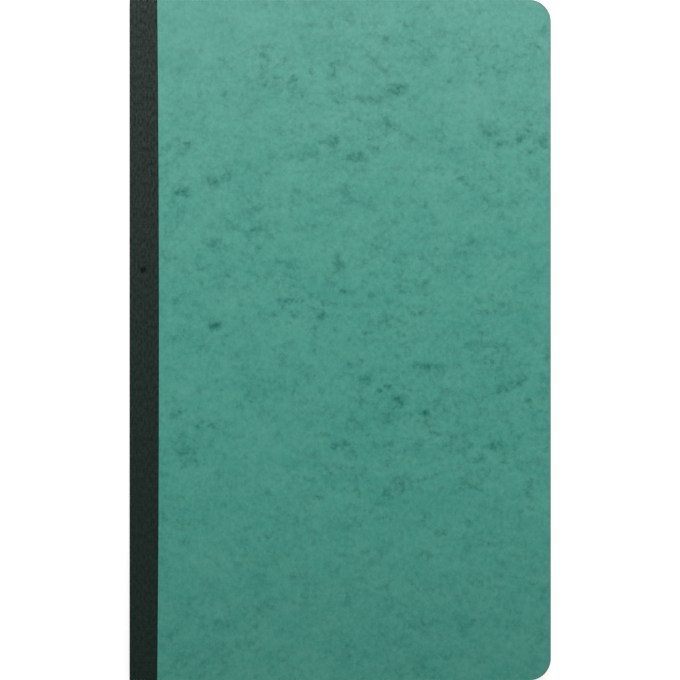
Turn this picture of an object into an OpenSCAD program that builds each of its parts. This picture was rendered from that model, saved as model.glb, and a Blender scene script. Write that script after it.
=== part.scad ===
// Due date register: a thin clothbound book of ruled pages, lying closed on its back.
// Sewn sections of folded sheets sit between two glazed pressboard covers. One strip of
// black book cloth wraps the spine and laps onto both covers, in a shallow rebate, so that
// the book lies flat. Covers and pages are trimmed together, with round fore-edge corners.
// X runs from the spine to the fore edge, Y from tail to head and Z from the back cover to
// the front one. The origin is the middle of the back cover's outer face.

/* [Book] */
// Width of the closed book, from the outside of the spine cloth to the fore edge
book_width = 130; // [100:1:220]
// Height of the book, from tail to head
book_height = 210; // [150:1:320]
// Radius of the two fore-edge corners, cut through the covers and pages together
corner_radius = 6.8; // [2:0.1:15]

/* [Covers] */
// Thickness of a pressboard cover
board_thickness = 0.8; // [0.5:0.05:2]
// Thickness of the endpapers, pasted half and free half alike
endpaper_thickness = 0.12; // [0.08:0.01:0.25]

/* [Pages] */
// Sewn sections in the book
section_count = 5; // [2:1:7]
// Folded sheets nested in each section, two leaves to a sheet
sheets_per_section = 4; // [2:1:6]
// Thickness of the page paper
paper_thickness = 0.1; // [0.06:0.01:0.2]
// Air between the nested sheets of a section
sheet_gap = 0.01; // [0.01:0.01:0.05]
// Air between sections, and on both sides of a free endpaper
section_gap = 0.03; // [0.02:0.01:0.1]

/* [Sewing] */
// Diameter of the sewing thread
thread_diameter = 0.12; // [0.1:0.01:0.3]
// Diameter of the thread where it is drawn tight through a needle hole
thread_waist = 0.1; // [0.06:0.01:0.25]
// Air around the thread, in its hole and along its runs
thread_gap = 0.01; // [0.01:0.01:0.03]
// Needle holes along each fold, an even number
hole_count = 8; // [4:2:12]
// Distance from one needle hole to the next
stitch_length = 25; // [10:1:40]

/* [Spine] */
// Thickness of the book cloth
cloth_thickness = 0.25; // [0.15:0.01:0.4]
// Width of cloth seen on a cover at the head, from the outside of the spine
cloth_lap_head = 8.3; // [5:0.1:20]
// Width of cloth seen on a cover at the tail
cloth_lap_tail = 8.6; // [5:0.1:20]
// How far the cut edge of the cloth bows towards the fore edge at mid height
cloth_bow = 0.6; // [0:0.1:2]
// Outer radius of the cloth where it turns from the spine onto a cover
spine_radius = 0.6; // [0.45:0.05:1.5]
// Thickness of the kraft paper that lines the sewn folds
lining_thickness = 0.12; // [0.08:0.01:0.3]
// Distance from the head and the tail to the ends of the lining
lining_inset = 12; // [4:1:30]
// Slit between the two halves of the spine, where the book opens
spine_slit = 0.02; // [0.01:0.01:0.1]

/* [Hidden] */
$fn = 96;

// Steps in the bowed edge of the cloth
bow_steps = 14;
// Cuts run this far past the faces that they pass through
overcut = 1;

// Thread lies in the middle of a section, with room to the paper on both sides
fold_room = thread_diameter + 4 * thread_gap;
sheet_pitch = paper_thickness + sheet_gap;
section_height = fold_room + 2 * (sheets_per_section * sheet_pitch - sheet_gap);
section_pitch = section_height + section_gap;
block_height = section_count * section_pitch - section_gap;

// Heights above the table, from the back cover up
pastedown_z = board_thickness;
flyleaf_z = pastedown_z + endpaper_thickness + section_gap;
block_z = flyleaf_z + endpaper_thickness + section_gap;
book_thickness = 2 * block_z + block_height;
middle_z = book_thickness / 2;

// Depths into the book, from the outside of the spine cloth
spine_x = -book_width / 2;
fore_x = book_width / 2;
lining_x = spine_x + cloth_thickness;
outer_run_x = lining_x + lining_thickness + thread_gap + thread_diameter / 2;
fold_x = outer_run_x + thread_diameter / 2 + thread_gap;
inner_run_x = fold_x + section_height / 2;
board_x = spine_x + spine_radius;

first_hole_y = -stitch_length * (hole_count - 1) / 2;

cover_green = [0.31, 0.59, 0.53];
cloth_black = [0.15, 0.19, 0.18];
paper_white = [0.95, 0.94, 0.89];
endpaper_cream = [0.92, 0.90, 0.83];
kraft_brown = [0.72, 0.58, 0.40];
thread_white = [0.93, 0.92, 0.88];

function sheet_name(section, sheet) = str("section_", section, "_sheet_", sheet);

function thread_name(section) = str("sewing_thread_", section);

// Middle height of a section, the first one lying under the front cover
function section_z(section) =
    block_z + section_height / 2 + (section_count - section) * section_pitch;

// Height along the spine of a needle hole, counted from the tail
function hole_y(hole) = first_hole_y + (hole - 1) * stitch_length;

// Width of cloth seen on a cover at a height, straight from tail to head plus the bow
function cloth_lap(y) =
    let (t = y / book_height + 0.5)
    cloth_lap_tail + t * (cloth_lap_head - cloth_lap_tail) + 4 * cloth_bow * t * (1 - t);

// Trimmed outline of a cover or leaf that starts at a given depth from the spine
module trimmed_outline(start_x) {
    straight_height = book_height - 2 * corner_radius;
    translate([start_x, -book_height / 2])
        square([fore_x - corner_radius - start_x, book_height]);
    translate([fore_x - corner_radius, -straight_height / 2])
        square([corner_radius, straight_height]);
    for (side = [-1, 1])
        translate([fore_x - corner_radius, side * straight_height / 2])
            circle(corner_radius);
}

// Flat sheet with the trimmed outline, lying at a height
module trimmed_sheet(start_x, z, thickness) {
    translate([0, 0, z])
        linear_extrude(thickness)
            trimmed_outline(start_x);
}

// Cloth's outline on a cover, from a given depth to its bowed cut edge
module lap_outline(start_x) {
    polygon(concat(
        [[start_x, book_height / 2], [start_x, -book_height / 2]],
        [for (i = [0 : bow_steps])
            let (y = book_height * (i / bow_steps - 0.5))
            [spine_x + cloth_lap(y), y]]
    ));
}

// Turns what is drawn for the back half of the book over to the front half
module front_half() {
    translate([0, 0, book_thickness])
        mirror([0, 0, 1])
            children();
}

// Extrudes a profile, drawn in depth and height, along the spine
module along_spine(length) {
    rotate([90, 0, 0])
        linear_extrude(length, center = true)
            children();
}

// Cover board with the rebate that takes the cloth
module board() {
    difference() {
        trimmed_sheet(board_x, 0, board_thickness);
        translate([0, 0, -overcut])
            linear_extrude(cloth_thickness + overcut)
                lap_outline(board_x - overcut);
    }
}

// Cloth glued into a board's rebate
module cloth_lap_panel() {
    linear_extrude(cloth_thickness)
        lap_outline(board_x);
}

// Half of the cloth over the spine, turning onto the cover at its round edge
module cloth_spine_half() {
    along_spine(book_height) {
        translate([spine_x, spine_radius])
            square([cloth_thickness, middle_z - spine_slit / 2 - spine_radius]);
        intersection() {
            translate([board_x, spine_radius])
                difference() {
                    circle(spine_radius);
                    circle(spine_radius - cloth_thickness);
                }
            translate([spine_x, 0])
                square(spine_radius);
        }
    }
}

// Half of the kraft paper glued over the sewn folds
module lining_half() {
    along_spine(book_height - 2 * lining_inset)
        translate([lining_x, block_z])
            square([lining_thickness, middle_z - spine_slit / 2 - block_z]);
}

// Profile of a fold: a bar with a half-round end towards the spine
module fold_profile(radius, end_x) {
    translate([inner_run_x, -radius])
        square([end_x - inner_run_x, 2 * radius]);
    translate([inner_run_x, 0])
        circle(radius);
}

// One folded sheet, the outermost of its section being sheet 1, pierced for the thread
module folded_sheet(section, sheet) {
    outer_radius = section_height / 2 - (sheet - 1) * sheet_pitch;
    hole_diameter = thread_waist + 2 * thread_gap;
    color(paper_white)
        translate([0, 0, section_z(section)])
            difference() {
                intersection() {
                    along_spine(book_height)
                        difference() {
                            fold_profile(outer_radius, fore_x);
                            fold_profile(outer_radius - paper_thickness, fore_x + overcut);
                        }
                    trimmed_sheet(fold_x - overcut, -section_height, 2 * section_height);
                }
                for (hole = [1 : hole_count])
                    translate([inner_run_x, hole_y(hole), 0])
                        rotate([0, -90, 0])
                            cylinder(h = section_height, d = hole_diameter);
            }
}

// Straight run of thread along the spine from one hole to the next
module thread_run(x, hole) {
    translate([x, hole_y(hole), 0])
        rotate([-90, 0, 0])
            cylinder(h = stitch_length, d = thread_diameter);
}

// Running stitch of a section: inside the fold, out through a hole, along the back, in again
module sewing_thread(section) {
    color(thread_white)
        translate([0, 0, section_z(section)]) {
            for (hole = [1 : 2 : hole_count - 1])
                thread_run(inner_run_x, hole);
            for (hole = [2 : 2 : hole_count - 2])
                thread_run(outer_run_x, hole);
            for (hole = [1 : hole_count]) {
                translate([inner_run_x, hole_y(hole), 0]) {
                    sphere(d = thread_diameter);
                    rotate([0, -90, 0])
                        cylinder(h = inner_run_x - outer_run_x, d = thread_waist);
                }
                translate([outer_run_x, hole_y(hole), 0])
                    sphere(d = thread_diameter);
            }
        }
}

module front_cover() {
    color(cover_green)
        front_half()
            board();
}

module back_cover() {
    color(cover_green)
        board();
}

module front_pastedown() {
    color(endpaper_cream)
        front_half()
            trimmed_sheet(board_x, pastedown_z, endpaper_thickness);
}

module back_pastedown() {
    color(endpaper_cream)
        trimmed_sheet(board_x, pastedown_z, endpaper_thickness);
}

module front_flyleaf() {
    color(endpaper_cream)
        front_half()
            trimmed_sheet(fold_x, flyleaf_z, endpaper_thickness);
}

module back_flyleaf() {
    color(endpaper_cream)
        trimmed_sheet(fold_x, flyleaf_z, endpaper_thickness);
}

module spine_lining_upper() {
    color(kraft_brown)
        front_half()
            lining_half();
}

module spine_lining_lower() {
    color(kraft_brown)
        lining_half();
}

module cloth_front_lap() {
    color(cloth_black)
        front_half()
            cloth_lap_panel();
}

module cloth_spine_upper() {
    color(cloth_black)
        front_half()
            cloth_spine_half();
}

module cloth_spine_lower() {
    color(cloth_black)
        cloth_spine_half();
}

module cloth_back_lap() {
    color(cloth_black)
        cloth_lap_panel();
}

front_cover();
front_pastedown();
front_flyleaf();
for (s = [1 : section_count]) {
    for (k = [1 : sheets_per_section])
        folded_sheet(s, k);
    sewing_thread(s);
}
back_flyleaf();
back_pastedown();
back_cover();
spine_lining_upper();
spine_lining_lower();
cloth_front_lap();
cloth_spine_upper();
cloth_spine_lower();
cloth_back_lap();
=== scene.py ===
import math

import bmesh
import bpy
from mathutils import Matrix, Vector


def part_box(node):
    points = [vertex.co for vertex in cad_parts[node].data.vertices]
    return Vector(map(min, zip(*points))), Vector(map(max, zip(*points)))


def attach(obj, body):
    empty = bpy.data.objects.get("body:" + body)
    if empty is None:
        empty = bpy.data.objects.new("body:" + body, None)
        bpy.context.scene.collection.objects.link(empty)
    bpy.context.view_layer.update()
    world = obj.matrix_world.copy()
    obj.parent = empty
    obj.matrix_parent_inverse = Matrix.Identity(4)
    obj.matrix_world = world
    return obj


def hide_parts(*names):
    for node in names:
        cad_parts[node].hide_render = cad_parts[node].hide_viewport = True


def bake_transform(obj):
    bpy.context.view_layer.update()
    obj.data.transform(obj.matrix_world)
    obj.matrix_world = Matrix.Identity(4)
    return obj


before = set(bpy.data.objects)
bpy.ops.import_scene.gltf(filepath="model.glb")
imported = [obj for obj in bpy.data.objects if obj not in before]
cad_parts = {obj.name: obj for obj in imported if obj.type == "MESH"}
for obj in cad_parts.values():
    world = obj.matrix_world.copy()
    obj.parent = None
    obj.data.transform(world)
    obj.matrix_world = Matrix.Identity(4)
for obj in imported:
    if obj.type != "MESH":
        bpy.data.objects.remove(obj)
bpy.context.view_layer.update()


# Ruled sheets
# Writing paper, printed with thin blue rows and red columns, folded once at the spine, nested by four.
# A sheet makes two leaves, and its three open edges are trimmed with the covers after binding.
# Lengths that a material reads are in millimetres, and all others in metres.
MM_IN_METRE = 1000
SECTIONS = 5
SHEETS_IN_SECTION = 4
PAPER_WHITE = (0.84, 0.815, 0.735, 1)
PAPER_SHADE = (0.818, 0.793, 0.712, 1)
PAPER_EDGE_PALE = (0.90, 0.88, 0.82, 1)
PAPER_EDGE_DARK = (0.70, 0.67, 0.60, 1)
ROW_BLUE = (0.36, 0.50, 0.60, 1)
COLUMN_RED = (0.62, 0.26, 0.24, 1)
ROW_PITCH = 7.0
HEAD_RULE = 87.5
LINE_HALF_WIDTH = 0.11
LINE_SOFTNESS = 0.05
DOUBLE_RULE_GAP = 1.0
ROW_INK = 0.55
COLUMN_INK = 0.5
PAGE_TOOTH_DEPTH = 0.006
COLUMN_PLACES = (-53.0, -42.0, -41.0, 21.0, 22.0, 45.0, 53.0)


def new_finish(name, roughness, shine):
    """A material with its shader's plain roughness and shine."""
    finish = bpy.data.materials.new(name)
    finish.use_nodes = True
    shader = finish.node_tree.nodes["Principled BSDF"]
    shader.inputs["Roughness"].default_value = roughness
    shader.inputs["Specular IOR Level"].default_value = shine
    return finish, finish.node_tree, shader


def plug(tree, socket, value):
    """Links a socket to another node's output, or sets its number or colour."""
    if isinstance(value, bpy.types.NodeSocket):
        tree.links.new(value, socket)
    else:
        socket.default_value = value


def millimetres(tree, stretch=(1, 1, 1), shift=(0, 0, 0)):
    """The piece's own coordinates in millimetres, stretched and shifted."""
    place = tree.nodes.new("ShaderNodeTexCoord")
    scale = tree.nodes.new("ShaderNodeMapping")
    scale.inputs["Location"].default_value = shift
    scale.inputs["Scale"].default_value = [MM_IN_METRE / s for s in stretch]
    tree.links.new(place.outputs["Object"], scale.inputs["Vector"])
    return scale.outputs["Vector"]


def clouds(tree, place, size, detail=2.0, roughness=0.5, distortion=0.0):
    """Noise from 0 to 1 whose largest clouds are about this many millimetres across."""
    noise = tree.nodes.new("ShaderNodeTexNoise")
    tree.links.new(place, noise.inputs["Vector"])
    noise.inputs["Scale"].default_value = 1 / size
    noise.inputs["Detail"].default_value = detail
    noise.inputs["Roughness"].default_value = roughness
    noise.inputs["Distortion"].default_value = distortion
    return noise.outputs["Fac"]


def reckon(tree, operation, first, second=0.0):
    """One step of arithmetic."""
    step = tree.nodes.new("ShaderNodeMath")
    step.operation = operation
    plug(tree, step.inputs[0], first)
    plug(tree, step.inputs[1], second)
    return step.outputs["Value"]


def fade(tree, value, start, end, low=0.0, high=1.0):
    """A smooth step from low to high while the value goes from start to end."""
    step = tree.nodes.new("ShaderNodeMapRange")
    step.interpolation_type = "SMOOTHSTEP"
    plug(tree, step.inputs["Value"], value)
    step.inputs["From Min"].default_value = start
    step.inputs["From Max"].default_value = end
    step.inputs["To Min"].default_value = low
    step.inputs["To Max"].default_value = high
    return step.outputs["Result"]


def tint(tree, share, under, over):
    """One colour laid over another by a share."""
    mix = tree.nodes.new("ShaderNodeMix")
    mix.data_type = "RGBA"
    plug(tree, mix.inputs[0], share)
    plug(tree, mix.inputs[6], under)
    plug(tree, mix.inputs[7], over)
    return mix.outputs[2]


def parts_of(tree, vector):
    """The three numbers of a vector."""
    split = tree.nodes.new("ShaderNodeSeparateXYZ")
    tree.links.new(vector, split.inputs["Vector"])
    return split.outputs["X"], split.outputs["Y"], split.outputs["Z"]


def relief(tree, shader, height, depth):
    """Raises the surface by a height from 0 to 1 times a depth in millimetres."""
    bump = tree.nodes.new("ShaderNodeBump")
    bump.inputs["Distance"].default_value = depth / MM_IN_METRE
    tree.links.new(height, bump.inputs["Height"])
    tree.links.new(bump.outputs["Normal"], shader.inputs["Normal"])


def face_normal(tree):
    """The piece's own surface direction, which stays with it as it turns."""
    return tree.nodes.new("ShaderNodeTexCoord").outputs["Normal"]


def dress(piece, finish):
    """Puts one finish on all of a piece."""
    if not piece.material_slots:
        piece.data.materials.append(finish)
    for slot in piece.material_slots:
        slot.material = finish


def printed_line(tree, distance):
    """Ink of a thin line, from the distance to its middle."""
    return fade(tree, distance, LINE_HALF_WIDTH + LINE_SOFTNESS, LINE_HALF_WIDTH - LINE_SOFTNESS)


paper, tree, shader = new_finish("ruled writing paper", roughness=0.7, shine=0.2)
place = millimetres(tree)
across, up, _ = parts_of(tree, place)
_, _, facing = parts_of(tree, face_normal(tree))
page_side = fade(tree, reckon(tree, "ABSOLUTE", facing), 0.8, 0.95)
reading = reckon(tree, "MULTIPLY", across, reckon(tree, "SIGN", facing))
from_head = reckon(tree, "SUBTRACT", up, HEAD_RULE)
rows = printed_line(tree, reckon(tree, "PINGPONG", from_head, ROW_PITCH / 2))
below_head = reckon(tree, "LESS_THAN", up, HEAD_RULE + DOUBLE_RULE_GAP / 2)
rows = reckon(tree, "MULTIPLY", rows, below_head)
from_red_rule = reckon(tree, "SUBTRACT", up, HEAD_RULE + DOUBLE_RULE_GAP)
columns = printed_line(tree, reckon(tree, "ABSOLUTE", from_red_rule))
for rule in COLUMN_PLACES:
    distance = reckon(tree, "ABSOLUTE", reckon(tree, "SUBTRACT", reading, rule))
    columns = reckon(tree, "MAXIMUM", columns, printed_line(tree, distance))
tooth = clouds(tree, place, size=0.7, detail=4, roughness=0.65)
sheet_tone = clouds(tree, place, size=18, detail=3)
colour = tint(tree, fade(tree, sheet_tone, 0.3, 0.7), PAPER_WHITE, PAPER_SHADE)
colour = tint(tree, reckon(tree, "MULTIPLY", rows, ROW_INK), colour, ROW_BLUE)
colour = tint(tree, reckon(tree, "MULTIPLY", columns, COLUMN_INK), colour, COLUMN_RED)
leaf_lines = clouds(tree, millimetres(tree, stretch=(30, 30, 1)), size=0.16, detail=2, roughness=0.6)
edge_colour = tint(tree, fade(tree, leaf_lines, 0.3, 0.65), PAPER_EDGE_DARK, PAPER_EDGE_PALE)
tree.links.new(tint(tree, page_side, edge_colour, colour), shader.inputs["Base Color"])
relief(tree, shader, tooth, PAGE_TOOTH_DEPTH)
for section in range(1, SECTIONS + 1):
    for sheet in range(1, SHEETS_IN_SECTION + 1):
        dress(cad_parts[f"section_{section}_sheet_{sheet}"], paper)


# Sewing threads
# White linen thread, twisted and waxed, one running stitch through the fold of each section.
# It is drawn in and out through needle holes, so that the four sheets of a section hold together.
THREAD_WHITE = (0.80, 0.78, 0.70, 1)
THREAD_GROOVE_SHADE = (0.52, 0.48, 0.40, 1)
TWIST_SCALE = 3.0
TWIST_DEPTH = 0.015

thread, tree, shader = new_finish("waxed linen thread", roughness=0.55, shine=0.3)
twist = tree.nodes.new("ShaderNodeTexWave")
twist.bands_direction = "DIAGONAL"
twist.inputs["Scale"].default_value = TWIST_SCALE
twist.inputs["Distortion"].default_value = 0.4
tree.links.new(millimetres(tree), twist.inputs["Vector"])
# Painted shade: the grooves of the twist are coloured darker than its crowns.
colour = tint(tree, twist.outputs["Fac"], THREAD_GROOVE_SHADE, THREAD_WHITE)
tree.links.new(colour, shader.inputs["Base Color"])
relief(tree, shader, twist.outputs["Fac"], TWIST_DEPTH)
for section in range(1, SECTIONS + 1):
    dress(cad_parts[f"sewing_thread_{section}"], thread)


# Spine lining
# A strip of brown kraft paper glued over the sewn folds, in two halves that part as the book opens.
# Its long fibres run along the spine.
KRAFT_BROWN = (0.46, 0.29, 0.14, 1)
KRAFT_FIBRE = (0.60, 0.42, 0.23, 1)
KRAFT_FIBRE_DEPTH = 0.012

kraft, tree, shader = new_finish("kraft lining paper", roughness=0.8, shine=0.2)
fibres = clouds(tree, millimetres(tree, stretch=(1, 8, 1)), size=0.5, detail=4, roughness=0.7)
colour = tint(tree, fade(tree, fibres, 0.35, 0.7), KRAFT_BROWN, KRAFT_FIBRE)
tree.links.new(colour, shader.inputs["Base Color"])
relief(tree, shader, fibres, KRAFT_FIBRE_DEPTH)
for half in ("upper", "lower"):
    dress(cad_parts[f"spine_lining_{half}"], kraft)


# Cover boards
# Glazed pressboard, dyed green through, mottled by dark and pale fibres in its pulp.
# Each board is die-cut with round fore-edge corners and has a shallow rebate that takes the cloth.
# The cut edge is a little rounded, and worn along the fore edge and the corners.
SPINE_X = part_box("cloth_spine_upper")[0].x
LAP_HEAD = 0.00862
LAP_TAIL = 0.00862
LAP_BOW = 0.00053
LAP_START = 0.0085
CLOTH_THICKNESS = 0.00025
CORNER_RADIUS = 0.0068
CORNER_STEPS = 16
BOARD_STRIPS = 13
CUT_EDGE_ROUND = 0.00026
CUT_EDGE_STEPS = 4
REBATE_ROUND = 0.00008
SMOOTH_ANGLE = 35
NEAR = 1e-6
BOARD_GREEN = (0.0125, 0.2255, 0.170, 1)
BOARD_PALE = (0.0710, 0.3185, 0.250, 1)
BOARD_STAIN_AND_SHADE = (0.003, 0.090, 0.065, 1)
BOARD_CUT = (0.085, 0.320, 0.260, 1)
BOARD_WORN = (0.095, 0.192, 0.160, 1)
BOARD_TOOTH_DEPTH = 0.005
GRAIN_SHARE = 0.44
FIBRE_SHARE = 0.28
DRIFT_SHARE = 0.28
# Each of these fades from a first place to a second one, and from a first share to a second one.
SHADED_BESIDE_CLOTH = (-55.6, -54.6)
RIM_WEAR = (1.0, 0.2, 0.0, 0.62)
FORE_EDGE = (58.2, 60.0)
CALM_TAIL = (-90, -30, 0.6, 1.0)
CALM_CORNER = (100, 140, 1.0, 0.4)
# Painted shade: the board darkens towards the tail, standing in for light that falls off there.
PAINTED_TAIL_SHADE = (-112, -48, 0.10, 0.0)
BLOTCH_REACH = (1.75, 0.1)
CLUMP_UNEVENNESS = 2.0
CLUMPS = (
    # size in millimetres, stretch across, shift, share
    (7.4, 1.7, (12, 40, 0), 0.22),
    (3.8, 1.5, (31, 17, 0), 0.18),
)
STRANDS = (
    # size in millimetres, shift, thinness, sparseness, share
    (4.6, (9, 2, 0), 0.11, 0.46, 0.16),
    (2.8, (21, 8, 0), 0.12, 0.49, 0.08),
)
BLOTCHES = (
    # across, up, half length and half height in millimetres, strength
    (17.0, 77.2, 3.0, 1.5, 0.53),
    (9.0, 74.0, 4.8, 1.3, 0.31),
    (4.9, 56.2, 3.6, 1.3, 0.53),
    (-2.6, 61.8, 2.8, 1.6, 0.36),
    (-40.0, 48.9, 3.2, 1.8, 0.26),
    (-34.4, 50.9, 2.0, 1.5, 0.31),
    (-0.4, 23.1, 2.2, 1.6, 0.40),
    (45.4, 64.2, 2.6, 2.2, 0.36),
    (-38.4, 4.3, 1.9, 1.5, 0.37),
    (18.4, -18.5, 2.0, 1.7, 0.53),
    (7.6, -12.0, 2.4, 1.4, 0.31),
    (26.7, -8.2, 6.5, 1.2, 0.34),
    (43.1, -1.5, 4.5, 1.5, 0.28),
    (47.8, -32.7, 2.8, 1.5, 0.50),
    (17.8, -43.8, 2.0, 1.8, 0.36),
)


def ragged(tree, place, size, push):
    """A place that noise pushes to and fro, so that what is drawn there gets an uneven edge."""
    noise = tree.nodes.new("ShaderNodeTexNoise")
    noise.inputs["Scale"].default_value = 1 / size
    noise.inputs["Detail"].default_value = 3.0
    tree.links.new(place, noise.inputs["Vector"])
    centred = tree.nodes.new("ShaderNodeVectorMath")
    centred.operation = "SUBTRACT"
    tree.links.new(noise.outputs["Color"], centred.inputs[0])
    centred.inputs[1].default_value = (0.5, 0.5, 0.5)
    pushed = tree.nodes.new("ShaderNodeVectorMath")
    pushed.operation = "MULTIPLY_ADD"
    tree.links.new(centred.outputs["Vector"], pushed.inputs[0])
    pushed.inputs[1].default_value = (push, push, 0)
    tree.links.new(place, pushed.inputs[2])
    return pushed.outputs["Vector"]


def clumps(tree, size, stretch, shift, unevenness):
    """Soft ragged spots of uneven strength, one in each cell of about this many millimetres."""
    place = millimetres(tree, stretch=(stretch, 1, 1), shift=shift)
    cells = tree.nodes.new("ShaderNodeTexVoronoi")
    cells.voronoi_dimensions = "2D"
    cells.inputs["Scale"].default_value = 1 / size
    cells.inputs["Randomness"].default_value = 0.85
    tree.links.new(ragged(tree, place, size * 0.4, size * 0.9), cells.inputs["Vector"])
    strength, _, _ = parts_of(tree, cells.outputs["Color"])
    core = fade(tree, cells.outputs["Distance"], 0.46, 0.06)
    return reckon(tree, "MULTIPLY", core, reckon(tree, "POWER", strength, unevenness))


def strands(tree, size, shift, thin, sparse):
    """Thin broken curves, as of dark fibres caught in the pulp, that run more across than up."""
    straight = millimetres(tree, stretch=(1.3, 1, 1), shift=shift)
    field = clouds(tree, ragged(tree, straight, size * 0.3, size * 0.5), size, detail=2, roughness=0.5)
    line = fade(tree, reckon(tree, "ABSOLUTE", reckon(tree, "SUBTRACT", field, 0.5)), thin, 0.0)
    apart = millimetres(tree, stretch=(1.4, 1, 1), shift=shift)
    gap = clouds(tree, apart, size * 1.5, detail=3, roughness=0.6)
    return reckon(tree, "MULTIPLY", line, fade(tree, gap, sparse, sparse + 0.16))


def cloth_lap(up):
    """Width of cloth on a cover at a height: straight from tail to head, plus a bow."""
    share = up / BOARD_HEIGHT + 0.5
    return LAP_TAIL + share * (LAP_HEAD - LAP_TAIL) + 4 * LAP_BOW * share * (1 - share)


def pick(kind, test):
    """In edit mode, selects the vertices, edges or faces whose corners pass a test."""
    bpy.ops.mesh.select_mode(type=kind)
    bpy.ops.mesh.select_all(action="DESELECT")
    mesh = bpy.context.object.data
    shape = bmesh.from_edit_mesh(mesh)
    if kind == "VERT":
        found = [corner for corner in shape.verts if test([corner.co])]
    elif kind == "EDGE":
        found = [edge for edge in shape.edges if test([corner.co for corner in edge.verts])]
    else:
        found = [face for face in shape.faces if test([corner.co for corner in face.verts])]
    for part in found:
        part.select_set(True)
    shape.select_flush_mode()
    bmesh.update_edit_mesh(mesh)


def runs_up(ends):
    """An edge along the height of the book."""
    return abs(ends[0].x - ends[1].x) < NEAR and abs(ends[0].z - ends[1].z) < NEAR


def lay_plane(name, low_x, high_x, height):
    """A flat sheet of the book's height, at its place, in edit mode."""
    bpy.ops.object.select_all(action="DESELECT")
    bpy.ops.mesh.primitive_plane_add(size=1)
    sheet = bpy.context.object
    sheet.name = name
    sheet.data.name = name
    bpy.ops.object.mode_set(mode="EDIT")
    bpy.ops.transform.resize(value=(high_x - low_x, BOARD_HEIGHT, 1))
    bpy.ops.transform.translate(value=((high_x + low_x) / 2, 0, height))
    return sheet


def bow_edge(sheet, start):
    """Moves the points of a line up the cover to the cloth's bowed edge."""
    shape = bmesh.from_edit_mesh(sheet.data)
    for corner in shape.verts:
        if abs(corner.co.x - start) < NEAR:
            corner.co.x = SPINE_X + cloth_lap(corner.co.y)
    bmesh.update_edit_mesh(sheet.data)


def round_edges(piece, width, steps, angle):
    """Rounds what is sharper than an angle, and shades the piece smooth."""
    bpy.ops.object.mode_set(mode="OBJECT")
    bevel = piece.modifiers.new("round edges", "BEVEL")
    bevel.width = width
    bevel.segments = steps
    bevel.limit_method = "ANGLE"
    bevel.angle_limit = math.radians(angle)
    bpy.ops.object.modifier_apply(modifier=bevel.name)
    bpy.ops.object.shade_smooth_by_angle(angle=math.radians(SMOOTH_ANGLE))


def turn_over(piece, name):
    """A copy of a piece with its own mesh, mirrored from the front of the book to the back."""
    bpy.ops.object.select_all(action="DESELECT")
    piece.select_set(True)
    bpy.context.view_layer.objects.active = piece
    bpy.ops.object.duplicate()
    copy = bpy.context.object
    copy.name = name
    copy.data.name = name
    bpy.ops.object.mode_set(mode="EDIT")
    bpy.ops.mesh.select_all(action="SELECT")
    bpy.ops.transform.resize(value=(1, 1, -1), center_override=(0, 0, BOOK_THICKNESS / 2))
    bpy.ops.mesh.normals_make_consistent(inside=False)
    bpy.ops.object.mode_set(mode="OBJECT")
    return copy


board_low, board_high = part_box("front_cover")
BOOK_THICKNESS = board_high.z
BOARD_HEIGHT = board_high.y - board_low.y
half_height = BOARD_HEIGHT / 2
lap_x = SPINE_X + LAP_START
rebate_z = BOOK_THICKNESS - CLOTH_THICKNESS


def level(ends):
    """An edge on the inner or the outer face of the front board."""
    return any(all(abs(p.z - face) < NEAR for p in ends) for face in (board_low.z, BOOK_THICKNESS))


def on_outline(point):
    """A point at the head, tail or fore edge of a board, or on a round corner."""
    if point.x > board_high.x - NEAR or abs(point.y) > half_height - NEAR:
        return True
    past_side = point.x - board_high.x + CORNER_RADIUS
    past_end = abs(point.y) - half_height + CORNER_RADIUS
    in_corner = min(past_side, past_end) > 0
    return in_corner and math.hypot(past_side, past_end) > CORNER_RADIUS - 2 * NEAR


def inside_outline(tree, across, up):
    """How many millimetres a point of a board lies inside its cut outline, close to the outline."""
    corner_x = (board_high.x - CORNER_RADIUS) * MM_IN_METRE
    corner_y = (half_height - CORNER_RADIUS) * MM_IN_METRE
    past_side = reckon(tree, "MAXIMUM", reckon(tree, "SUBTRACT", across, corner_x), 0.0)
    from_middle = reckon(tree, "ABSOLUTE", up)
    past_end = reckon(tree, "MAXIMUM", reckon(tree, "SUBTRACT", from_middle, corner_y), 0.0)
    side_square = reckon(tree, "MULTIPLY", past_side, past_side)
    end_square = reckon(tree, "MULTIPLY", past_end, past_end)
    reach = reckon(tree, "SQRT", reckon(tree, "ADD", side_square, end_square))
    return reckon(tree, "SUBTRACT", CORNER_RADIUS * MM_IN_METRE, reach)


front_board = lay_plane("front_board", board_low.x, board_high.x, board_low.z)
bpy.ops.mesh.bisect(plane_co=(lap_x, 0, 0), plane_no=(1, 0, 0))
pick("EDGE", runs_up)
bpy.ops.mesh.subdivide(number_cuts=BOARD_STRIPS)
bow_edge(front_board, lap_x)
bpy.ops.mesh.select_all(action="SELECT")
bpy.ops.mesh.extrude_region_move(TRANSFORM_OT_translate={"value": (0, 0, rebate_z - board_low.z)})
pick("FACE", lambda ends: all(p.z > rebate_z - NEAR and p.x > board_low.x + NEAR for p in ends))
bpy.ops.mesh.extrude_region_move(TRANSFORM_OT_translate={"value": (0, 0, CLOTH_THICKNESS)})
pick(
    "EDGE",
    lambda ends: all(p.x > board_high.x - NEAR and abs(p.y) > half_height - NEAR for p in ends),
)
bpy.ops.mesh.bevel(offset=CORNER_RADIUS, segments=CORNER_STEPS, affect="EDGES")
bpy.ops.mesh.select_all(action="SELECT")
bpy.ops.mesh.remove_doubles(threshold=NEAR)
bpy.ops.mesh.normals_make_consistent(inside=False)
pick("EDGE", lambda ends: level(ends) and all(on_outline(p) for p in ends))
bpy.ops.mesh.bevel(offset=CUT_EDGE_ROUND, segments=CUT_EDGE_STEPS, affect="EDGES")
round_edges(front_board, REBATE_ROUND, steps=2, angle=40)
back_board = turn_over(front_board, "back_board")
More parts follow.
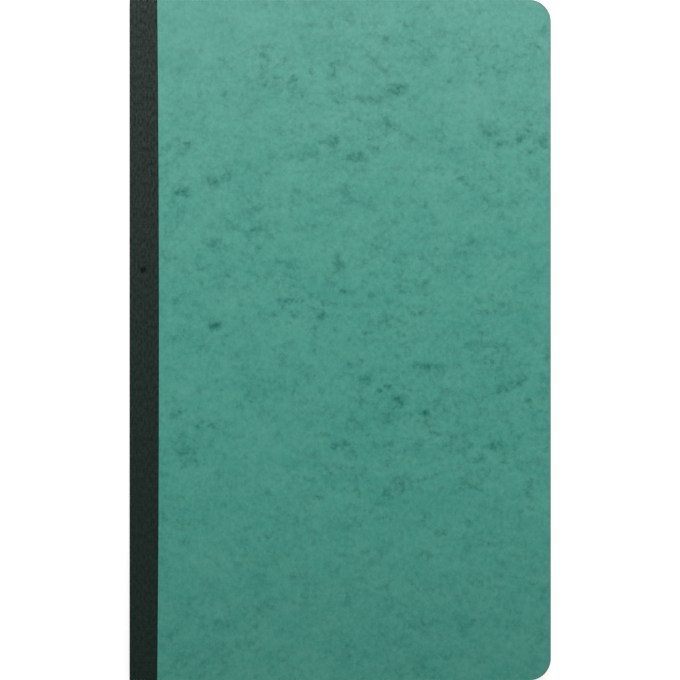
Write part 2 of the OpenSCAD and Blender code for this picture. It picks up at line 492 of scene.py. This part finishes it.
for board in (front_board, back_board):
    bpy.context.view_layer.objects.active = board
    flat = board.modifiers.new("flat faces", "WEIGHTED_NORMAL")
    flat.keep_sharp = True
    bpy.ops.object.modifier_apply(modifier=flat.name)

pressboard, tree, shader = new_finish("glazed green pressboard", roughness=0.40, shine=0.50)
_, _, facing = parts_of(tree, face_normal(tree))
flat_face = fade(tree, reckon(tree, "ABSOLUTE", facing), 0.70, 0.985)
drift = clouds(tree, millimetres(tree, stretch=(1.9, 1, 1)), size=9, detail=3, roughness=0.6)
gathered = millimetres(tree, stretch=(2.0, 1, 1), shift=(3, 7, 0))
gather = clouds(tree, gathered, size=14, detail=3, roughness=0.5)
patches = clouds(tree, millimetres(tree, stretch=(1.2, 1, 1)), size=3.4, detail=3, roughness=0.6)
grains = clouds(tree, millimetres(tree, stretch=(1, 1.2, 1)), size=1.4, detail=3, roughness=0.7)
fibre = clouds(tree, millimetres(tree, stretch=(1, 1.7, 1)), size=0.5, detail=3, roughness=0.7)
stains_and_tail_shade = fade(tree, patches, 0.48, 0.9, 0.0, 0.55)
for size, stretch, shift, share in CLUMPS:
    spots = clumps(tree, size, stretch, shift, CLUMP_UNEVENNESS)
    stains_and_tail_shade = reckon(tree, "ADD", stains_and_tail_shade, reckon(tree, "MULTIPLY", spots, share))
for size, shift, thin, sparse, share in STRANDS:
    curves = strands(tree, size, shift, thin, sparse)
    stains_and_tail_shade = reckon(tree, "ADD", stains_and_tail_shade, reckon(tree, "MULTIPLY", curves, share))
stains_and_tail_shade = reckon(tree, "MULTIPLY", stains_and_tail_shade, fade(tree, gather, 0.3, 0.7, 0.7, 1.26))
place = millimetres(tree)
across, up, _ = parts_of(tree, place)
# Cut edges are paler. The rebate step beside the cloth gets the dark stain colour as painted shade, a
# dark line.
cut = tint(tree, fade(tree, across, *SHADED_BESIDE_CLOTH), BOARD_STAIN_AND_SHADE, BOARD_CUT)
stains_and_tail_shade = reckon(tree, "MULTIPLY", stains_and_tail_shade, fade(tree, up, *CALM_TAIL))
to_head_and_spine = reckon(tree, "SUBTRACT", up, across)
stains_and_tail_shade = reckon(tree, "MULTIPLY", stains_and_tail_shade, fade(tree, to_head_and_spine, *CALM_CORNER))
worn = fade(tree, inside_outline(tree, across, up), *RIM_WEAR)
worn = reckon(tree, "MULTIPLY", worn, fade(tree, across, *FORE_EDGE))
painted_tail_shade = fade(tree, up, *PAINTED_TAIL_SHADE)
uneven = ragged(tree, place, 1.6, 2.6)
for blotch_across, blotch_up, half_length, half_tall, strength in BLOTCHES:
    here = tree.nodes.new("ShaderNodeMapping")
    here.inputs["Location"].default_value = (-blotch_across / half_length, -blotch_up / half_tall, 0)
    here.inputs["Scale"].default_value = (1 / half_length, 1 / half_tall, 0)
    tree.links.new(uneven, here.inputs["Vector"])
    spot = tree.nodes.new("ShaderNodeVectorMath")
    spot.operation = "LENGTH"
    tree.links.new(here.outputs["Vector"], spot.inputs[0])
    blotch = fade(tree, spot.outputs["Value"], *BLOTCH_REACH, 0.0, strength)
    stains_and_tail_shade = reckon(tree, "ADD", stains_and_tail_shade, blotch)
stains_and_tail_shade = reckon(tree, "MULTIPLY", stains_and_tail_shade, fade(tree, grains, 0.3, 0.65, 0.5, 1.1))
# Painted shade towards the tail joins the stains, so the board there is darker and shines less.
stains_and_tail_shade = reckon(tree, "ADD", stains_and_tail_shade, painted_tail_shade)
tone = reckon(tree, "MULTIPLY", grains, GRAIN_SHARE)
tone = reckon(tree, "ADD", tone, reckon(tree, "MULTIPLY", fibre, FIBRE_SHARE))
tone = reckon(tree, "ADD", tone, reckon(tree, "MULTIPLY", drift, DRIFT_SHARE))
colour = tint(tree, fade(tree, tone, 0.26, 0.74), BOARD_PALE, BOARD_GREEN)
colour = tint(tree, stains_and_tail_shade, colour, BOARD_STAIN_AND_SHADE)
colour = tint(tree, worn, colour, BOARD_WORN)
tree.links.new(fade(tree, stains_and_tail_shade, 0.0, 0.7, 0.50, 0.16), shader.inputs["Specular IOR Level"])
tree.links.new(tint(tree, flat_face, cut, colour), shader.inputs["Base Color"])
relief(tree, shader, reckon(tree, "ADD", fibre, grains), BOARD_TOOTH_DEPTH)
for end, board in (("front", front_board), ("back", back_board)):
    dress(board, pressboard)
    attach(board, f"{end}_cover")
    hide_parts(f"{end}_cover")


# Endpapers
# Two folded sheets of heavier cream paper, unprinted, one at each end of the pages.
# One half is pasted all over the inside of the cover, and the other is a free leaf.
# The fold between them bridges the cover's joint.
ENDPAPER_THICKNESS = 0.00012
FOLD_STEPS = 24
ENDPAPER_CREAM = (0.80, 0.755, 0.645, 1)
ENDPAPER_SHADE = (0.765, 0.715, 0.60, 1)
ENDPAPER_FIBRE = (0.58, 0.50, 0.37, 1)
ENDPAPER_EDGE = (0.66, 0.61, 0.50, 1)
ENDPAPER_TOOTH_DEPTH = 0.01

pasted_low, pasted_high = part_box("front_pastedown")
leaf_low, leaf_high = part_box("front_flyleaf")
pasted_z = (pasted_low.z + pasted_high.z) / 2
leaf_z = (leaf_low.z + leaf_high.z) / 2

front_endpaper = lay_plane("front_endpaper", leaf_low.x, leaf_high.x, leaf_z)
pick("EDGE", lambda ends: all(p.x < leaf_low.x + NEAR for p in ends))
bpy.ops.mesh.spin(
    steps=FOLD_STEPS,
    angle=math.pi,
    center=(leaf_low.x, 0, (pasted_z + leaf_z) / 2),
    axis=(0, 1, 0),
)
pick("EDGE", lambda ends: runs_up(ends) and all(p.z > pasted_z - NEAR for p in ends))
bpy.ops.mesh.extrude_region_move(TRANSFORM_OT_translate={"value": (leaf_high.x - leaf_low.x, 0, 0)})
pick("VERT", lambda corner: corner[0].x > leaf_high.x - NEAR)
bpy.ops.mesh.bevel(offset=CORNER_RADIUS, segments=CORNER_STEPS, affect="VERTICES")
bpy.ops.mesh.select_all(action="SELECT")
bpy.ops.mesh.remove_doubles(threshold=NEAR)
bpy.ops.mesh.normals_make_consistent(inside=False)
bpy.ops.object.mode_set(mode="OBJECT")
wall = front_endpaper.modifiers.new("paper thickness", "SOLIDIFY")
wall.thickness = ENDPAPER_THICKNESS
wall.offset = 0
bpy.ops.object.modifier_apply(modifier=wall.name)
bpy.ops.object.shade_smooth_by_angle(angle=math.radians(SMOOTH_ANGLE))
back_endpaper = turn_over(front_endpaper, "back_endpaper")

endpaper, tree, shader = new_finish("cream endpaper", roughness=0.75, shine=0.2)
place = millimetres(tree)
_, _, facing = parts_of(tree, face_normal(tree))
page_side = fade(tree, reckon(tree, "ABSOLUTE", facing), 0.1, 0.3)
mottle = clouds(tree, place, size=9, detail=6, roughness=0.7)
flecks = clouds(tree, millimetres(tree, stretch=(2.6, 1, 1)), size=0.55, detail=2, distortion=1.5)
tooth = clouds(tree, place, size=0.5, detail=4, roughness=0.65)
colour = tint(tree, fade(tree, mottle, 0.2, 0.8), ENDPAPER_CREAM, ENDPAPER_SHADE)
colour = tint(tree, fade(tree, flecks, 0.70, 0.82, 0.0, 0.5), colour, ENDPAPER_FIBRE)
tree.links.new(tint(tree, page_side, ENDPAPER_EDGE, colour), shader.inputs["Base Color"])
relief(tree, shader, tooth, ENDPAPER_TOOTH_DEPTH)
for end, paper_piece in (("front", front_endpaper), ("back", back_endpaper)):
    dress(paper_piece, endpaper)
    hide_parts(f"{end}_pastedown", f"{end}_flyleaf")
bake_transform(front_endpaper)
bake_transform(back_endpaper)


# Spine cloth
# One strip of black book cloth in a fine plain weave, glued around the spine and onto both boards.
# It is made as a front and a back half that meet in the middle of the spine, one for each cover.
CLOTH_STRIPS = 41
CLOTH_TURN = 0.0006
CLOTH_TURN_STEPS = 18
CLOTH_FRAY = 0.00004
THREAD_PITCH = 0.45
CLOTH_BLACK = (0.0032, 0.0094, 0.0068, 1)
CLOTH_CROWN_LIGHT_AND_WEAR = (0.0102, 0.0218, 0.0168, 1)
CLOTH_SPECK = (0.060, 0.075, 0.068, 1)
PIT_ACROSS = 3.78
PIT_UP = 21.58
PIT_RADIUS = 1.25
PIT_SHADE = 0.85
PIT_SHADOW = (0.002, 0.003, 0.003, 1)
PIT_DEPTH = 8.0
WEAVE_DEPTH = 0.012
TAIL_TO_HEAD = (-105, 105)
BACK_SHIFT = 400.0

middle_z = BOOK_THICKNESS / 2
board_x = SPINE_X + CLOTH_TURN
turn_z = BOOK_THICKNESS - CLOTH_TURN

front_cloth = lay_plane("spine_cloth_front", SPINE_X, lap_x, BOOK_THICKNESS)
pick("EDGE", runs_up)
bpy.ops.mesh.subdivide(number_cuts=CLOTH_STRIPS)
bow_edge(front_cloth, lap_x)
pick("EDGE", lambda ends: all(p.x < SPINE_X + NEAR for p in ends))
half_spine = middle_z - BOOK_THICKNESS
bpy.ops.mesh.extrude_region_move(TRANSFORM_OT_translate={"value": (0, 0, half_spine)})
pick("EDGE", lambda ends: all(p.x < SPINE_X + NEAR and p.z > BOOK_THICKNESS - NEAR for p in ends))
bpy.ops.mesh.bevel(offset=CLOTH_TURN, segments=CLOTH_TURN_STEPS, affect="EDGES")
bpy.ops.object.mode_set(mode="OBJECT")
wall = front_cloth.modifiers.new("cloth thickness", "SOLIDIFY")
wall.thickness = CLOTH_THICKNESS
wall.offset = -1
bpy.ops.object.modifier_apply(modifier=wall.name)
round_edges(front_cloth, CLOTH_FRAY, steps=2, angle=60)
back_cloth = turn_over(front_cloth, "spine_cloth_back")


def unrolled(point, height):
    """How many millimetres a point of the cloth lies from the start of the turn, along the cloth."""
    if point.x > board_x:
        return (point.x - board_x) * MM_IN_METRE
    if height > turn_z:
        return -CLOTH_TURN * math.atan2(board_x - point.x, height - turn_z) * MM_IN_METRE
    return -(CLOTH_TURN * math.pi / 2 + turn_z - height) * MM_IN_METRE


def lay_weave(cloth, over, shift):
    """Gives the cloth a map in millimetres, across and along the strip."""
    chart = cloth.data.uv_layers.new(name="weave")
    for loop in cloth.data.loops:
        point = cloth.data.vertices[loop.vertex_index].co
        height = BOOK_THICKNESS - point.z if over else point.z
        chart.data[loop.index].uv = (unrolled(point, height), point.y * MM_IN_METRE + shift)


lay_weave(front_cloth, False, 0.0)
lay_weave(back_cloth, True, BACK_SHIFT)

book_cloth, tree, shader = new_finish("black book cloth", roughness=0.42, shine=0.13)
chart = tree.nodes.new("ShaderNodeUVMap")
chart.uv_map = "weave"
along = chart.outputs["UV"]
across, up, _ = parts_of(tree, along)
warp_place = reckon(tree, "DIVIDE", across, THREAD_PITCH)
weft_place = reckon(tree, "DIVIDE", up, THREAD_PITCH)
warp = reckon(tree, "ABSOLUTE", reckon(tree, "SINE", reckon(tree, "MULTIPLY", warp_place, math.pi)))
weft = reckon(tree, "ABSOLUTE", reckon(tree, "SINE", reckon(tree, "MULTIPLY", weft_place, math.pi)))
crossing = reckon(tree, "ADD", reckon(tree, "FLOOR", warp_place), reckon(tree, "FLOOR", weft_place))
over = reckon(tree, "FLOORED_MODULO", crossing, 2.0)
under = reckon(tree, "SUBTRACT", 1.0, over)
warp_crown = reckon(tree, "MULTIPLY", warp, reckon(tree, "SQRT", weft))
weft_crown = reckon(tree, "MULTIPLY", weft, reckon(tree, "SQRT", warp))
warp_over = reckon(tree, "MULTIPLY", warp_crown, over)
weft_over = reckon(tree, "MULTIPLY", weft_crown, under)
weave = reckon(tree, "ADD", warp_over, weft_over)
slub = tree.nodes.new("ShaderNodeMapping")
slub.inputs["Scale"].default_value = (1.0, 0.42, 1.0)
tree.links.new(along, slub.inputs["Vector"])
slubs = clouds(tree, slub.outputs["Vector"], size=0.66, detail=3, roughness=0.65)
# Painted light: the slubs vary more in colour and shine towards the head, where the head lamp's sheen
# shows them.
painted_head_contrast = fade(tree, up, *TAIL_TO_HEAD, 0.64, 1.08)
uneven = reckon(tree, "MULTIPLY", reckon(tree, "SUBTRACT", slubs, 0.5), painted_head_contrast)
slubs = reckon(tree, "ADD", uneven, 0.5)
wear = clouds(tree, along, size=6, detail=5, roughness=0.6)
specks = clouds(tree, along, size=0.5, detail=1)
pit = tree.nodes.new("ShaderNodeVectorMath")
pit.operation = "DISTANCE"
tree.links.new(ragged(tree, along, 0.9, 0.8), pit.inputs[0])
pit.inputs[1].default_value = (PIT_ACROSS, PIT_UP, 0)
hollow = fade(tree, pit.outputs["Value"], PIT_RADIUS * 1.2, PIT_RADIUS * 0.2)
# Painted light: the weave's thread crowns are coloured lighter and its hollows darker, with the slubs'
# own tone.
lit = reckon(tree, "MULTIPLY", weave, fade(tree, slubs, 0.25, 0.75, 0.4, 1.2))
# Painted light: the cloth is paler and shinier towards the head, where the head lamp falls.
painted_head_light = fade(tree, up, *TAIL_TO_HEAD, 0.85, 1.08)
lit = reckon(tree, "MULTIPLY", lit, painted_head_light)
colour = tint(tree, lit, CLOTH_BLACK, CLOTH_CROWN_LIGHT_AND_WEAR)
colour = tint(tree, fade(tree, wear, 0.45, 0.75, 0.0, 0.35), colour, CLOTH_CROWN_LIGHT_AND_WEAR)
colour = tint(tree, fade(tree, specks, 0.78, 0.88, 0.0, 0.35), colour, CLOTH_SPECK)
# Painted shade: the pit's hollow is darkened towards black.
colour = tint(tree, reckon(tree, "MULTIPLY", hollow, PIT_SHADE), colour, PIT_SHADOW)
tree.links.new(colour, shader.inputs["Base Color"])
gloss = reckon(tree, "MULTIPLY", fade(tree, slubs, 0.25, 0.75, 0.05, 0.21), painted_head_light)
gloss = reckon(tree, "MULTIPLY", gloss, fade(tree, hollow, 0.0, 1.0, 1.0, 0.3))
tree.links.new(gloss, shader.inputs["Specular IOR Level"])
height = reckon(tree, "SUBTRACT", weave, reckon(tree, "MULTIPLY", hollow, PIT_DEPTH))
relief(tree, shader, height, WEAVE_DEPTH)

dress(front_cloth, book_cloth)
dress(back_cloth, book_cloth)
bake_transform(front_cloth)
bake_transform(back_cloth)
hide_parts("cloth_front_lap", "cloth_spine_upper")
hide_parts("cloth_back_lap", "cloth_spine_lower")


# Table
# A plain white table top that the closed book lies on, seen as even white around the book.
# It takes the book's soft shadow. Its own light keeps it white further off, and some of it fills in
# the shade on the sides of the book, as a lit table does.
TABLE_SIZE = 6.0
TABLE_DROP = 0.0004
TABLE_WHITE = (0.86, 0.86, 0.86, 1)
TABLE_GLOW = 0.56
TABLE_FAR_GLOW = 0.84
TABLE_FILL = 0.37
GLOW_FROM_BOOK = (150, 700)


def seen_directly(tree):
    """1 for rays from the camera, from reflections and through glass, or else 0."""
    path = tree.nodes.new("ShaderNodeLightPath")
    seen = reckon(tree, "MAXIMUM", path.outputs["Is Camera Ray"], path.outputs["Is Glossy Ray"])
    return reckon(tree, "MAXIMUM", seen, path.outputs["Is Transmission Ray"])


bpy.ops.object.select_all(action="DESELECT")
bpy.ops.mesh.primitive_plane_add(size=TABLE_SIZE, location=(0, 0, -TABLE_DROP))
table = bpy.context.object
table.name = "table"
table_top, tree, shader = new_finish("white table", roughness=0.9, shine=0.0)
shader.inputs["Base Color"].default_value = TABLE_WHITE
shader.inputs["Emission Color"].default_value = (1, 1, 1, 1)
from_book = tree.nodes.new("ShaderNodeVectorMath")
from_book.operation = "LENGTH"
tree.links.new(millimetres(tree), from_book.inputs[0])
glow = fade(tree, from_book.outputs["Value"], *GLOW_FROM_BOOK, TABLE_GLOW, TABLE_FAR_GLOW)
glow = reckon(tree, "MULTIPLY", glow, fade(tree, seen_directly(tree), 0.0, 1.0, TABLE_FILL, 1.0))
tree.links.new(glow, shader.inputs["Emission Strength"])
dress(table, table_top)


# Studio light
# A soft lamp beyond the head of the book, two smaller ones at its sides and even white light all round.
# The head lamp leaves the head brighter than the tail, with a soft shine on the glazed board.
# place, width, height, watts
HEAD_LAMP = ((0.0, 0.238, 0.407), 0.50, 0.26, 1.18)
SIDE_LAMPS = (((-0.31, 0.12, 0.26), 0.22, 0.22, 0.54), ((0.31, 0.12, 0.26), 0.22, 0.22, 0.54))
ROOM_LIGHT = 0.18

for place, wide, tall, watts in (HEAD_LAMP, *SIDE_LAMPS):
    aim = (-Vector(place)).to_track_quat("-Z", "Y").to_euler()
    bpy.ops.object.light_add(type="AREA", location=place, rotation=aim)
    lamp = bpy.context.object
    lamp.name = "soft lamp"
    lamp.data.shape = "RECTANGLE"
    lamp.data.size = wide
    lamp.data.size_y = tall
    lamp.data.energy = watts

room = bpy.data.worlds.new("white room")
room.use_nodes = True
bpy.context.scene.world = room
tree = room.node_tree
background = tree.nodes["Background"]
background.inputs["Color"].default_value = (1, 1, 1, 1)
brightness = fade(tree, seen_directly(tree), 0.0, 1.0, ROOM_LIGHT, 1.0)
tree.links.new(brightness, background.inputs["Strength"])


# Camera
# It looks straight down on the front cover from a distance, as the photograph does.
# The book's height fills the picture from top to bottom.
CAMERA_X = -0.00004
CAMERA_RISE = 0.7862
CAMERA_LENS = 135.0
CAMERA_SENSOR = 36.0

camera_height = BOOK_THICKNESS + CAMERA_RISE
bpy.ops.object.camera_add(location=(CAMERA_X, 0, camera_height), rotation=(0, 0, 0))
camera = bpy.context.object
camera.data.lens = CAMERA_LENS
camera.data.sensor_width = CAMERA_SENSOR
bpy.context.scene.camera = camera
bpy.context.scene.view_settings.view_transform = "Standard"
